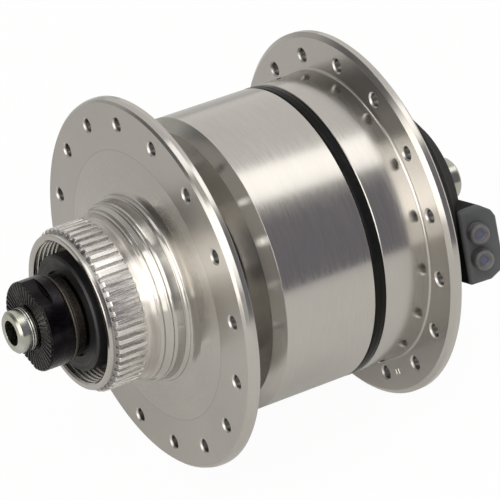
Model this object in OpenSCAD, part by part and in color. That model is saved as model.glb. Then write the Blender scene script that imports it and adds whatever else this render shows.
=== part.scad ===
// Hub dynamo for a bicycle front wheel: rotor seat on the left end, generator inside, plug on the right end.
// Millimetres. The origin is the middle of the axle, the axle runs along Y, and +Y is the rotor side.

/* [Axle] */

// Distance between the two locknut faces
over_locknuts = 100; // [90:0.5:120]
// How far the axle stands out past each locknut face
axle_stub = 4; // [2:0.1:20]
// Diameter of the axle's plain ends
axle_d = 9; // [8:0.1:12]
// Bore for the skewer
axle_bore_d = 5.4; // [5:0.1:6.5]
// Chamfer on the ends of the axle
axle_chamfer = 0.5; // [0.2:0.1:1]
// How far the threads are drawn under their crests
thread_relief = 0.3; // [0.1:0.05:0.5]
// How far the thread runs on past each locknut face
runout_w = 0.3; // [0.1:0.05:1]
// Diameter of the seat that the stator sits on
stator_seat_d = 12; // [11:0.1:16]
// Height of the shoulder beside the stator
shoulder_height = 1.5; // [0.5:0.1:3]
// Length of that shoulder
shoulder_length = 4; // [2:0.1:8]
// Width of the groove for the coil lead
lead_groove_w = 1.1; // [0.8:0.1:1.6]
// Depth of the groove for the coil lead
lead_groove_depth = 0.8; // [0.75:0.01:1]
// Diameter of the coil lead
lead_d = 0.7; // [0.4:0.05:0.75]

/* [Left locknut] */

// Diameter of the left locknut
locknut_d = 19; // [16:0.1:24]
// Depth of its two wrench flats
flat_depth = 1; // [0.5:0.1:2]
// Its length
locknut_length = 5.7; // [4:0.1:9]
// Length of the wrench flats
flat_length = 3.2; // [2:0.1:6]
// Direction of the flats around the axle
flat_angle = -8; // [-90:1:90]
// Number of teeth on the serrated face
serrations = 44; // [24:1:60]
// Depth of the teeth on the serrated face
serration_depth = 0.28; // [0.1:0.02:0.6]
// Distance from the axle to the teeth
serration_inset = 0.7; // [0.3:0.1:2]
// Thickness of the washer under each locknut
washer_t = 0.7; // [0.4:0.1:1.5]

/* [Bearings] */

// Ball diameter
ball_d = 4.762; // [3.175:0.001:6.35]
// Pitch diameter of the ball rows
ball_pitch_d = 15.6; // [14:0.1:24]
// Balls in each row
ball_count = 9; // [7:1:14]
// Clearance between a ball and its tracks
ball_clearance = 0.02; // [0.01:0.01:0.08]
// Distance from the tube mouth to the left ball row
left_row_inset = 4.2; // [3:0.1:8]
// Distance from the end cover's face to the right ball row
right_row_inset = 8.5; // [6:0.1:12]
// Wall of a bearing cup around its balls
cup_wall = 1; // [0.6:0.1:3]
// Diameter of a cone's outer collar
cone_collar_d = 17.5; // [14:0.1:20]

/* [Rotor seat] */

// Distance from the left locknut face to the tube mouth
mouth_inset = 9.4; // [6:0.1:14]
// Diameter over the rotor splines
spline_d = 35; // [33:0.1:40]
// Height of a spline
spline_height = 0.9; // [0.5:0.1:1.5]
// Number of splines
spline_count = 52; // [40:1:60]
// Distance from the tube mouth to the splines
spline_inset = 1.2; // [0.5:0.1:4]
// Length of the splines
spline_length = 7; // [4:0.1:12]
// Wall between the splines and the crests of the lockring thread
seat_wall = 1.5; // [1:0.1:3]
// Pitch of the lockring thread
lock_pitch = 1; // [0.75:0.05:1.5]
// Depth of the lockring thread
lock_depth = 0.45; // [0.2:0.05:0.8]
// Depth of the space for the lockring
lock_space = 8; // [6:0.1:10]
// Wall of the tube's inner nose around the bearing cup
nose_wall = 0.7; // [0.4:0.1:1.5]
// Wall of the dust cap
dust_cap_wall = 0.5; // [0.3:0.1:1]
// How far the dust cap stands out of the tube mouth
dust_cap_proud = 0.5; // [0:0.1:2]
// Gap between the dust cap and the cone
seal_gap = 0.3; // [0.1:0.05:1]

/* [Flanges] */

// Flange diameter
flange_d = 79.8; // [70:0.1:110]
// Flange thickness
flange_t = 2.5; // [2:0.1:4]
// Outer face of the left flange
left_flange_y = 22.4; // [16:0.1:30]
// Outer face of the right flange
right_flange_y = -29.1; // [-36:0.1:-22]
// Distance from the flange edge to the spoke hole circle
hole_edge = 4.9; // [3:0.1:8]
// Spoke holes in each flange
hole_count = 16; // [12:1:20]
// Spoke hole diameter
hole_d = 2.7; // [2.3:0.1:3.2]
// Depth of the countersink on each side of a spoke hole
hole_sink = 0.4; // [0.1:0.05:0.8]
// First spoke hole of the left flange, around from the top
left_hole_angle = -5.17; // [-90:0.01:90]
// Flange edge chamfer
flange_chamfer = 0.5; // [0.2:0.1:1]
// Radius between the left flange and the neck
flange_fillet = 2; // [1:0.1:3]
// Diameter of the neck between the left flange and the barrel
neck_d = 40; // [37:0.1:48]
// Diameter of the rings between the rotor seat and the left flange
shoulder_ring_d = 38.2; // [36:0.1:44]

/* [Barrel] */

// Barrel diameter
barrel_d = 63.6; // [55:0.1:75]
// Where the bevel on the left of the barrel ends
barrel_left_y = 8.2; // [4:0.1:12]
// Depth of the bevel
bevel_depth = 2.4; // [1:0.1:5]
// Length of the bevel
bevel_length = 2.1; // [1:0.1:6]
// Where the barrel ends and the seal band starts
band_left_y = -13.1; // [-18:0.1:-8]
// Width of the seal band
band_width = 2.65; // [1.5:0.05:5]
// Wall of the barrel
barrel_wall = 2.85; // [2:0.05:5]
// Wall of the spigot that joins the right flange cap to the shell
spigot_wall = 1.3; // [0.8:0.05:2]
// Length of that spigot
spigot_length = 4.9; // [3:0.1:8]

/* [Generator] */

// Number of magnetic poles, two for each claw finger of one plate
poles = 28; // [20:2:32]
// Distance from the end of the barrel's bevel to the stator
stator_inset = 0.2; // [0.2:0.1:3]
// Stator width
stator_width = 30; // [20:0.1:36]
// Thickness of the steel ring around the magnets
yoke_t = 2.15; // [1:0.05:4]
// Thickness of the magnets
magnet_t = 2.2; // [1.5:0.1:4]
// How far the magnets stay inside each end of the stator
magnet_inset = 1; // [0:0.1:4]
// Gap between the claws and the magnets
air_gap = 0.4; // [0.2:0.05:1]
// Thickness of a claw plate and its fingers
claw_t = 2; // [1.2:0.1:3]
// Outer diameter of the stator core
core_d = 19; // [16:0.1:24]
// Wall of the coil bobbin
bobbin_wall = 1; // [0.5:0.1:2]
// How far the winding stays under the bobbin's edge
coil_margin = 2.2; // [0.5:0.1:5]
// Thickness of the stator nut
stator_nut_t = 3.4; // [2:0.1:6]

/* [End cover and plug] */

// Direction of the plug around the axle, from the top
plug_angle = -70; // [-180:1:180]
// Distance from the right locknut face to the end cover
cover_inset = 4.5; // [3:0.1:8]
// Distance across the flats of the right locknut
right_nut_flats = 13; // [12:0.1:17]
// Small diameter of the end cover, at its outer face
cover_small_d = 32; // [28:0.1:40]
// Diameter of the end cover where its skirt starts
cover_large_d = 45; // [38:0.1:50]
// Length of the end cover up to its skirt
cover_length = 6; // [4:0.1:9]
// Wall of the end cover
cover_wall = 1.5; // [1:0.1:3]
// Gap between the end cover and the turning shell
cover_gap = 0.6; // [0.3:0.1:2]
// How far the terminal housing stands out past the end cover
housing_out = 3; // [1:0.1:6]
// Width of the housing along the axle
housing_width = 8; // [7:0.1:12]
// Length of the housing across the plug direction
housing_length = 16.4; // [14:0.1:24]
// How far the housing reaches out from the axle
housing_reach = 22.1; // [20:0.1:30]
// Height of the grey cover on its inner side
plug_height = 2.7; // [1:0.1:6]
// Height of the grey cover on its outer side
plug_low_height = 0.6; // [0.4:0.1:6]
// Distance between the two nozzles
nozzle_spacing = 5.7; // [5:0.1:9]
// Nozzle diameter
nozzle_d = 4.5; // [3:0.1:6]
// How far a nozzle stands out
nozzle_length = 2.2; // [1:0.1:4]

/* [Hidden] */

eps = 0.01;
fn_big = 96;
fn_small = 48;
press_gap = 0.1;

half_locknuts = over_locknuts / 2;
half_axle = half_locknuts + axle_stub;
axle_r = axle_d / 2;
thread_r = axle_r - thread_relief;
slip_r = axle_r + press_gap;
runout_y = half_locknuts + runout_w;
shoulder_r = stator_seat_d / 2 + shoulder_height;
locknut_r = locknut_d / 2;
left_nut_inner = half_locknuts - locknut_length;
left_cone_end = left_nut_inner - washer_t;
contact_t = 0.3;

mouth_y = half_locknuts - mouth_inset;
left_row_y = mouth_y - left_row_inset;
spline_front_y = mouth_y - spline_inset;
spline_back_y = spline_front_y - spline_length;
dust_cap_y = mouth_y + dust_cap_proud;
cover_y = cover_inset - half_locknuts;
cover_inner_y = cover_y + cover_wall;
right_row_y = cover_y + right_row_inset;
right_cone_end = cover_inner_y + contact_t;
rim_y = cover_y + cover_length;
dome_y = rim_y + cover_gap;
cup_front = 3.4;
cup_back = 3;
nose_end_y = right_row_y - cup_front - 0.2;

ball_r = ball_d / 2;
track_r = ball_r + ball_clearance;
pitch_r = ball_pitch_d / 2;
race_r = pitch_r + track_r;
cup_r = race_r + cup_wall;
collar_r = cone_collar_d / 2;
cone_neck_r = pitch_r + 0.3;
cup_hole_r = pitch_r + 1.8;

spline_r = spline_d / 2;
spline_root_r = spline_r - spline_height;
lock_r = spline_root_r - seat_wall;
lock_root_r = lock_r + lock_depth;
lock_floor_y = mouth_y - lock_space;
nose_r = cup_r + nose_wall;
dust_cap_r = nose_r + dust_cap_wall;
dust_hole_r = collar_r + seal_gap;
dust_cap_length = 5;

flange_r = flange_d / 2;
hole_circle_r = flange_r - hole_edge;
hole_pitch = 360 / hole_count;
right_hole_angle = left_hole_angle - hole_pitch / 2;
seat_length = spline_back_y - left_flange_y;
ring_r = shoulder_ring_d / 2;

barrel_r = barrel_d / 2;
neck_r = neck_d / 2;
shelf_r = barrel_r - bevel_depth;
shelf_y = barrel_left_y + bevel_length;
cavity_r = barrel_r - barrel_wall;
cavity_left_y = barrel_left_y + 0.6;
spigot_r = cavity_r + spigot_wall;
spigot_y = band_left_y + spigot_length;
band_right_y = band_left_y - band_width;

stator_left_y = barrel_left_y - stator_inset;
stator_right_y = stator_left_y - stator_width;
yoke_r = cavity_r - yoke_t;
magnet_r = yoke_r - magnet_t;
claw_r = magnet_r - air_gap;
bobbin_r = claw_r - claw_t - 0.3;
coil_r = bobbin_r - coil_margin;
core_r = core_d / 2;
coil_y = [stator_right_y + claw_t, stator_left_y - claw_t];
stator_nut_y = stator_right_y - stator_nut_t;
stator_nut_flats = stator_seat_d + 5;

large_r = cover_large_d / 2;
step_r = large_r + 2.1;
step_y = rim_y + 1;
skirt_r = barrel_r + 0.4;
skirt_y = right_flange_y - cover_gap;
skirt_tilt = atan((skirt_r - step_r) / (skirt_y - 0.3 - step_y));

housing_y = [cover_y - housing_out, cover_y - housing_out + housing_width];
housing_mid_y = (housing_y[0] + housing_y[1]) / 2;
housing_mid_z = housing_length / 2;
housing_wall = 1.6;
housing_end_wall = 2.2;
pin_z = [housing_mid_z - nozzle_spacing / 2, housing_mid_z + nozzle_spacing / 2];
pin_start = housing_reach - 7.6;
pin_y = housing_mid_y + 0.2;
pin_t = 0.6;
pin_w = 1.6;
socket_floor = housing_reach - 5.7;
socket_y = [housing_y[0] + housing_wall, housing_y[1] - housing_wall];
socket_z = [housing_end_wall, housing_length - housing_end_wall];
slide_gap = 0.06;
plug_parting = 0.05;
plug_reach = housing_reach + plug_height;
plug_low_reach = housing_reach + plug_low_height;
face_tilt = atan((plug_reach - plug_low_reach) / housing_width);
nozzle_y = housing_mid_y + 1;
wire_hole_r = 0.85;

lead_r = lead_d / 2;
lead_turn = atan(pin_z[0] / pin_start);
ground_turn = atan(pin_z[1] / pin_start);
lead_out_r = core_r + bobbin_wall + 1.5;
lead_depth_r = thread_r - lead_groove_depth + lead_r + 0.05;
lead_y = cover_inner_y - lead_r;

// Turns a profile drawn as [radius, position along the axle] around the axle.
module turned(points, fn = fn_big) {
    rotate([-90, 0, 0]) rotate_extrude($fn = fn) polygon(points);
}

// A cylinder along the axle, from one position to another.
module rod(r, y1, y2, fn = fn_big) {
    rotate([-90, 0, 0]) translate([0, 0, min(y1, y2)]) cylinder(r = r, h = abs(y2 - y1), $fn = fn);
}

// A ring along the axle.
module ring(r1, r2, y1, y2, fn = fn_big) {
    turned([[r1, min(y1, y2)], [r2, min(y1, y2)], [r2, max(y1, y2)], [r1, max(y1, y2)]], fn);
}

// Turns its children by an angle around the axle, measured from the top towards +X.
module around(angle) {
    rotate([0, angle, 0]) children();
}

// The frame of the plug: X runs out along the plug, Y along the axle, Z across it.
module at_plug() {
    rotate([0, plug_angle - 90, 0]) children();
}

// Points of an arc in a turned profile.
function arc(r0, y0, r, a1, a2, n) =
    [for (i = [0:n]) let (a = a1 + (a2 - a1) * i / n) [r0 + r * cos(a), y0 + r * sin(a)]];

// Spoke holes through one flange, with a countersink on each side.
module spoke_holes(y_out, y_in, first_angle) {
    mid = (y_out + y_in) / 2;
    half = abs(y_out - y_in) / 2;
    for (i = [0:hole_count - 1])
        around(first_angle + i * hole_pitch) translate([0, mid, hole_circle_r]) rotate([-90, 0, 0]) {
            cylinder(r = hole_d / 2, h = 2 * half + 2, center = true, $fn = 24);
            for (side = [0, 1]) mirror([0, 0, side])
                translate([0, 0, half - hole_sink]) cylinder(
                    r1 = hole_d / 2, r2 = hole_d / 2 + hole_sink + eps, h = hole_sink + eps, $fn = 24);
        }
}

// The cross-section of the rotor splines.
module spline_section() {
    pitch = 360 / spline_count;
    root_half = pitch * 0.32;
    tip_half = pitch * 0.23;
    polygon([for (i = [0:spline_count - 1]) for (p = [
        [spline_root_r, -root_half], [spline_r, -tip_half], [spline_r, tip_half], [spline_root_r, root_half]])
        let (a = i * pitch + p[1] - 90) [p[0] * cos(a), p[0] * sin(a)]]);
}

// The rotor splines, chamfered at the mouth side.
module splines() {
    lead_in = 0.7;
    intersection() {
        rotate([-90, 0, 0]) translate([0, 0, spline_back_y])
            linear_extrude(height = spline_front_y - spline_back_y) difference() {
                spline_section();
                circle(r = spline_root_r - 0.8, $fn = fn_big);
            }
        turned([[spline_root_r - 1, spline_back_y - 1], [spline_r + 1, spline_back_y - 1],
            [spline_r + 1, spline_front_y - lead_in - 0.78], [spline_root_r - 0.3, spline_front_y + 0.23],
            [spline_root_r - 1, spline_front_y + 0.23]]);
    }
}

// Thread grooves inside the tube mouth, cut ring by ring.
module lock_thread() {
    for (i = [0:4]) {
        y = mouth_y - 1.2 - i * lock_pitch;
        turned([[lock_r - 0.2, y + 0.5], [lock_root_r, y], [lock_r - 0.2, y - 0.5]]);
    }
}

// Height between the left flange (0) and the back of the splines (1).
function ring_y(share) = left_flange_y + share * seat_length;

module hub_shell() {
    flange_in = left_flange_y - flange_t;
    outer = concat(
        [[lock_r + 0.4, mouth_y], [spline_root_r - 0.2, mouth_y], [spline_root_r - 0.05, mouth_y - 0.15],
        [spline_root_r - 0.05, spline_back_y], [spline_root_r, ring_y(0.97)],
        [spline_root_r + 0.7, ring_y(0.81)], [ring_r - 1.4, ring_y(0.735)],
        [ring_r - 1.15, ring_y(0.715)], [ring_r - 1, ring_y(0.68)],
        [ring_r - 0.8, ring_y(0.66)], [ring_r - 0.8, ring_y(0.62)], [ring_r - 0.4, ring_y(0.54)]],
        arc(ring_r - 0.6, ring_y(0.475), 0.6, 65, 0, 4),
        [[ring_r - 0.12, ring_y(0.465)], [ring_r - 0.12, ring_y(0.45)], [ring_r + 0.05, ring_y(0.43)],
        [ring_r + 0.15, ring_y(0.4)], [ring_r + 0.4, ring_y(0.235)], [ring_r + 0.3, ring_y(0.225)]],
        arc(ring_r + 0.25, ring_y(0.14), 0.75, 75, 0, 5),
        [[ring_r + 1.04, ring_y(0.13)], [ring_r + 1.25, ring_y(0.116)], [ring_r + 1.65, ring_y(0.105)],
        [ring_r + 2.2, ring_y(0.098)], [ring_r + 3.8, ring_y(0.085)],
        [shelf_r - 0.3, left_flange_y], [flange_r - 0.3 - flange_chamfer, left_flange_y],
        [flange_r - 0.3, left_flange_y - flange_chamfer],
        [flange_r, left_flange_y - flange_chamfer - flange_t * 0.38], [flange_r, flange_in + 0.1],
        [flange_r - 0.1, flange_in], [neck_r + flange_fillet, flange_in]],
        arc(neck_r + flange_fillet, flange_in - flange_fillet, flange_fillet, 105, 165, 4),
        [[neck_r, flange_in - flange_fillet - 0.6]],
        arc(neck_r + 0.8, shelf_y + 0.8, 0.8, 190, 270, 4),
        [[shelf_r, shelf_y], [barrel_r, barrel_left_y], [barrel_r, band_left_y + 0.15],
        [barrel_r - 0.15, band_left_y]]);
    inner = [
        [spigot_r, band_left_y], [spigot_r, spigot_y + 0.2], [cavity_r, spigot_y + 0.2],
        [cavity_r, cavity_left_y], [neck_r - 3, cavity_left_y], [neck_r - 3, left_flange_y - 5.4],
        [cup_r + 5, left_flange_y - 2.4],
        [cup_r + 2.6, left_flange_y - 0.9], [cup_r + 2.6, left_row_y - 7.2], [cup_r + 1.6, left_row_y - 6.2],
        [cup_hole_r, left_row_y - 5.4], [cup_hole_r, left_row_y - cup_back], [cup_r, left_row_y - cup_back],
        [cup_r, mouth_y - 0.3], [nose_r, mouth_y - 0.3], [nose_r, lock_floor_y], [lock_root_r, lock_floor_y],
        [lock_root_r, lock_floor_y + 1.2], [lock_r, lock_floor_y + 1.65], [lock_r, mouth_y - 0.4]];
    color([0.75, 0.75, 0.74]) difference() {
        union() {
            turned(concat(outer, inner));
            splines();
        }
        spoke_holes(left_flange_y, flange_in, left_hole_angle);
        lock_thread();
    }
}

// Distance from the axle, at a height, of a line that lies a gap inside the end cover's skirt.
function skirt_line(gap, y) = step_r + (y - step_y) * tan(skirt_tilt) - gap / cos(skirt_tilt);

module right_flange_cap() {
    flange_in = right_flange_y + flange_t;
    fillet = flange_fillet / 4;
    dome_gap = cover_wall + cover_gap;
    color([0.74, 0.74, 0.73]) difference() {
        turned(concat(
            [[spigot_r, spigot_y], [spigot_r, band_right_y], [barrel_r - 0.15, band_right_y],
            [barrel_r, band_right_y - 0.15], [barrel_r, flange_in + fillet]],
            arc(barrel_r + fillet, flange_in + fillet, fillet, 195, 270, 5),
            [[flange_r - 1, flange_in], [flange_r, flange_in - flange_t * 0.32],
            [flange_r, right_flange_y + flange_chamfer], [flange_r - flange_chamfer, right_flange_y],
            [skirt_line(dome_gap, right_flange_y), right_flange_y],
            [skirt_line(dome_gap, step_y + 1.3), step_y + 1.3], [large_r - cover_wall - 0.7, dome_y],
            [cup_r + 4, dome_y], [cup_r + 3.4, nose_end_y],
            [cup_r, nose_end_y], [cup_r, right_row_y + cup_back], [cup_hole_r, right_row_y + cup_back],
            [cup_hole_r, right_row_y + 4.2], [cup_r + 5.8, right_row_y + 3.4],
            [step_r - 2.8, right_row_y + 1.6], [cavity_r - 0.35, right_flange_y + 0.1],
            [cavity_r, right_flange_y + 1.1], [cavity_r, spigot_y]]));
        spoke_holes(right_flange_y, flange_in, right_hole_angle);
    }
}

module seal_band() {
    crown = barrel_r + 0.05;
    color([0.05, 0.05, 0.05]) turned([
        [spigot_r, band_left_y], [barrel_r - 0.35, band_left_y], [crown - 0.12, band_left_y - 0.25],
        [crown, band_left_y - 1.1], [crown - 0.15, band_left_y - 1.25], [crown - 0.02, band_left_y - 1.4],
        [crown - 0.12, band_right_y + 0.25], [barrel_r - 0.35, band_right_y], [spigot_r, band_right_y]]);
}

module dust_cap() {
    color([0.22, 0.22, 0.23]) turned([
        [dust_hole_r, dust_cap_y - 0.8], [dust_hole_r, dust_cap_y - 0.1], [dust_hole_r + 0.1, dust_cap_y],
        [dust_cap_r - 0.4, dust_cap_y], [dust_cap_r, dust_cap_y - 0.4],
        [dust_cap_r, dust_cap_y - dust_cap_length], [nose_r, dust_cap_y - dust_cap_length],
        [nose_r, dust_cap_y - 0.8]]);
}

// A bearing cup whose open side looks towards +Y, around a ball row at the given position.
module cup_body(row_y) {
    color([0.62, 0.63, 0.65]) turned(concat(
        [[cup_r, row_y - cup_back], [cup_r, row_y + cup_front], [race_r + 0.25, row_y + cup_front],
        [race_r, row_y + track_r + 0.2]],
        arc(pitch_r, row_y, track_r, 0, -78, 8),
        [[pitch_r + 0.5, row_y - cup_back]]));
}

module left_cup() {
    cup_body(left_row_y);
}

module right_cup() {
    mirror([0, 1, 0]) cup_body(-right_row_y);
}

// A bearing cone whose outer collar looks towards +Y.
module cone_body(row_y, end_y) {
    seal_y = row_y + 3.1;
    color([0.2, 0.19, 0.18]) turned(concat(
        [[thread_r, end_y], [thread_r, row_y - track_r - 0.2],
        [pitch_r - track_r - 0.2, row_y - track_r - 0.2], [pitch_r - track_r, row_y - track_r + 0.1]],
        arc(pitch_r, row_y, track_r, 180, 104, 8),
        [[cone_neck_r, seal_y - 0.3], [cone_neck_r, seal_y + 1.7], [collar_r - 0.25, seal_y + 1.85],
        [collar_r, seal_y + 2.1], [collar_r, end_y - 0.2], [collar_r - 0.2, end_y]]));
}

module left_cone() {
    cone_body(left_row_y, left_cone_end);
}

module right_cone() {
    mirror([0, 1, 0]) cone_body(-right_row_y, -right_cone_end);
}

// The rubber ring on a cone, just inside the dust cap.
module cone_seal_body(row_y) {
    seal_y = row_y + 2.8;
    color([0.1, 0.1, 0.1]) turned([[cone_neck_r, seal_y], [cone_neck_r + 1.2, seal_y],
        [cone_neck_r + 1.6, seal_y + 0.4], [cone_neck_r + 1.6, seal_y + 0.8], [cone_neck_r + 0.9, seal_y + 1],
        [cone_neck_r, seal_y + 1]]);
}

module left_cone_seal() {
    cone_seal_body(left_row_y);
}

module right_cone_seal() {
    mirror([0, 1, 0]) cone_seal_body(-right_row_y);
}

module ball_row(row_y) {
    color([0.8, 0.8, 0.82]) for (i = [0:ball_count - 1])
        around((i + 0.5) * 360 / ball_count) translate([0, row_y, pitch_r]) sphere(r = ball_r, $fn = 32);
}

module left_balls() {
    ball_row(left_row_y);
}

module right_balls() {
    ball_row(right_row_y);
}

// A cage ring that spaces the balls, open towards +Y.
module retainer_body(row_y) {
    outer = race_r - 0.15;
    inner = pitch_r + ball_r / 2;
    color([0.55, 0.5, 0.36]) difference() {
        turned([[inner, row_y - 0.8], [outer, row_y - 0.8], [outer, row_y + 2.5], [inner - 0.7, row_y + 2.5],
            [inner - 0.7, row_y + 2], [inner, row_y + 1.6]], fn_small);
        for (i = [0:ball_count - 1])
            around((i + 0.5) * 360 / ball_count) translate([0, row_y, pitch_r])
                sphere(r = ball_r + 0.08, $fn = 32);
    }
}

module left_retainer() {
    retainer_body(left_row_y);
}

module right_retainer() {
    mirror([0, 1, 0]) retainer_body(-right_row_y);
}

module axle() {
    seat_r = stator_seat_d / 2;
    groove_y1 = stator_nut_y - 0.8;
    groove_y2 = cover_y + 0.1;
    shoulder_y = stator_left_y + shoulder_length;
    color([0.66, 0.67, 0.62]) difference() {
        turned([
            [axle_bore_d / 2, -half_axle], [axle_r - axle_chamfer, -half_axle],
            [axle_r, axle_chamfer - half_axle],
            [axle_r, -runout_y], [thread_r, -runout_y],
            [thread_r, stator_nut_y - 0.6], [seat_r - 0.3, stator_nut_y - 0.6], [seat_r, stator_nut_y - 0.3],
            [seat_r, stator_left_y], [shoulder_r, stator_left_y], [shoulder_r, shoulder_y - 0.5],
            [shoulder_r - 0.5, shoulder_y], [thread_r + 1.3, shoulder_y], [thread_r, shoulder_y + 2],
            [thread_r, runout_y], [axle_r, runout_y],
            [axle_r, half_axle - axle_chamfer], [axle_r - axle_chamfer, half_axle],
            [axle_bore_d / 2, half_axle]]);
        at_plug() rotate([0, -lead_turn, 0])
            translate([thread_r - lead_groove_depth, groove_y2, -lead_groove_w / 2])
                cube([4, groove_y1 - groove_y2, lead_groove_w]);
    }
}

module left_locknut() {
    flat_y = half_locknuts - flat_length;
    face_y = half_locknuts;
    teeth_r = axle_r + serration_inset;
    tooth = serration_depth * 1.4;
    color([0.09, 0.09, 0.09]) difference() {
        turned([
            [thread_r, left_nut_inner], [locknut_r - 0.25, left_nut_inner],
            [locknut_r, left_nut_inner + 0.3], [locknut_r, face_y - 0.35], [locknut_r - 0.3, face_y],
            [teeth_r, face_y], [thread_r + 0.4, face_y - 0.5], [thread_r, face_y - 0.9]]);
        around(flat_angle) for (side = [-1, 1])
            translate([-locknut_d, flat_y, side * (locknut_d - flat_depth) - locknut_r])
                cube([2 * locknut_d, flat_length + 1, locknut_d]);
        for (i = [0:serrations - 1])
            around(i * 360 / serrations) translate([0, face_y, teeth_r - 0.1])
                rotate([0, 0, 45]) translate([-tooth / 2, -tooth / 2, 0]) cube([tooth, tooth, locknut_r]);
    }
}

module left_washer() {
    color([0.35, 0.33, 0.3]) turned([
        [slip_r, left_cone_end], [locknut_r - 0.4, left_cone_end],
        [locknut_r - 0.2, left_cone_end + 0.2], [locknut_r - 0.2, left_nut_inner - 0.2],
        [locknut_r - 0.4, left_nut_inner], [slip_r, left_nut_inner]]);
}

module right_washer() {
    color([0.6, 0.6, 0.58]) ring(slip_r, right_nut_flats / sqrt(3) - 0.1, cover_y, cover_y - washer_t);
}

module right_locknut() {
    nut_y = cover_y - washer_t;
    corner_r = right_nut_flats / sqrt(3);
    color([0.55, 0.56, 0.54]) difference() {
        intersection() {
            rotate([-90, 0, 0]) translate([0, 0, -half_locknuts])
                cylinder(r = corner_r, h = half_locknuts + nut_y, $fn = 6);
            turned([[0, nut_y], [corner_r - 0.4, nut_y], [corner_r, nut_y - 0.4],
                [corner_r, 0.4 - half_locknuts], [corner_r - 0.4, -half_locknuts], [0, -half_locknuts]]);
        }
        turned([[0, nut_y + 1], [thread_r, nut_y + 1], [thread_r, 0.9 - half_locknuts],
            [axle_r + 0.4, -half_locknuts], [axle_r + 0.4, -half_axle], [0, -half_axle]]);
    }
}

module stator_core() {
    color([0.5, 0.5, 0.52]) ring(stator_seat_d / 2, core_r, coil_y[0], coil_y[1]);
}

// One claw plate with its tapered fingers, whose plate sits at y = 0 and whose fingers run towards -Y.
module claw_body(first_angle) {
    count = poles / 2;
    finger = stator_width - 2 * claw_t - 0.6;
    root = 360 / poles * 0.72;
    tip = 360 / poles * 0.5;
    wide = claw_r * tan(root / 2);
    narrow = claw_r * tan(tip / 2);
    intersection() {
        turned([
            [stator_seat_d / 2, 0], [claw_r - 0.6, 0], [claw_r, -0.6], [claw_r, -finger],
            [claw_r - claw_t + 0.3, -finger],
            [claw_r - claw_t + 0.3, -claw_t], [stator_seat_d / 2, -claw_t]]);
        union() {
            rod(claw_r - 6.7, 1, -claw_t - 1);
            for (i = [0:count - 1])
                around(first_angle + i * 360 / count) translate([0, 0, claw_r - 10.2])
                    linear_extrude(height = 14) polygon([
                        [-wide, 1], [wide, 1], [wide, -claw_t], [narrow, -finger - 1], [-narrow, -finger - 1],
                        [-wide, -claw_t]]);
        }
    }
}

module left_claw() {
    color([0.46, 0.47, 0.5]) translate([0, stator_left_y, 0]) claw_body(0);
}

module right_claw() {
    color([0.43, 0.44, 0.47]) difference() {
        translate([0, stator_right_y, 0]) mirror([0, 1, 0]) claw_body(360 / poles);
        at_plug() rotate([0, -lead_turn, 0]) translate([lead_out_r, stator_right_y, 0]) rotate([90, 0, 0])
            cylinder(r = lead_r + 0.6, h = 4 * claw_t, center = true, $fn = 24);
    }
}

module coil_bobbin() {
    tube = core_r + bobbin_wall;
    color([0.88, 0.86, 0.78]) difference() {
        turned([
            [core_r, coil_y[0]], [bobbin_r, coil_y[0]], [bobbin_r, coil_y[0] + bobbin_wall],
            [tube, coil_y[0] + bobbin_wall], [tube, coil_y[1] - bobbin_wall],
            [bobbin_r, coil_y[1] - bobbin_wall], [bobbin_r, coil_y[1]], [core_r, coil_y[1]]]);
        at_plug() rotate([0, -lead_turn, 0]) translate([lead_out_r, coil_y[0], 0]) rotate([90, 0, 0])
            cylinder(r = lead_r + 0.4, h = 4 * bobbin_wall, center = true, $fn = 24);
    }
}

module coil_winding() {
    low = coil_y[0] + bobbin_wall;
    high = coil_y[1] - bobbin_wall;
    color([0.72, 0.38, 0.16]) turned([
        [core_r + bobbin_wall, low], [coil_r - 0.5, low], [coil_r, low + 0.5],
        [coil_r, high - 0.5], [coil_r - 0.5, high], [core_r + bobbin_wall, high]]);
}

module stator_nut() {
    color([0.6, 0.6, 0.6]) difference() {
        rotate([-90, 0, 0]) translate([0, 0, stator_nut_y])
            cylinder(r = stator_nut_flats / sqrt(3), h = stator_nut_t, $fn = 6);
        rod(stator_seat_d / 2, stator_right_y + 1, stator_nut_y - 1);
    }
}

module yoke_ring() {
    color([0.4, 0.41, 0.43]) ring(yoke_r, cavity_r, stator_left_y, stator_right_y);
}

module magnets() {
    span = 360 / poles - 0.35;
    width = stator_width - 2 * magnet_inset;
    color([0.25, 0.25, 0.27]) for (i = [0:poles - 1])
        around(i * 360 / poles) rotate([-90, 0, 0]) translate([0, 0, stator_right_y + magnet_inset])
            rotate([0, 0, -90 - span / 2]) rotate_extrude(angle = span, $fn = fn_big) polygon([
                [magnet_r, 0], [yoke_r, 0], [yoke_r, width], [magnet_r, width]]);
}

// A round wire through a list of points.
module wire(points, r) {
    for (i = [0:len(points) - 2]) hull() {
        translate(points[i]) sphere(r = r, $fn = 12);
        translate(points[i + 1]) sphere(r = r, $fn = 12);
    }
}

module coil_lead() {
    out = pin_start / cos(lead_turn) - lead_r - 0.05;
    turn_y = stator_nut_y - 1.4;
    color([0.7, 0.12, 0.08]) at_plug() rotate([0, -lead_turn, 0]) wire([
        [lead_out_r, coil_y[0] + bobbin_wall - lead_r, 0], [lead_out_r, turn_y + 1, 0],
        [lead_out_r - 1, turn_y, 0], [lead_depth_r, turn_y, 0], [lead_depth_r, lead_y, 0],
        [out, lead_y, 0]], lead_r);
}

module terminal_pins() {
    color([0.8, 0.68, 0.35]) at_plug() for (z = pin_z)
        translate([pin_start, pin_y - pin_t / 2, z - pin_w / 2])
            cube([socket_floor + 4.1 - pin_start, pin_t, pin_w]);
}

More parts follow.
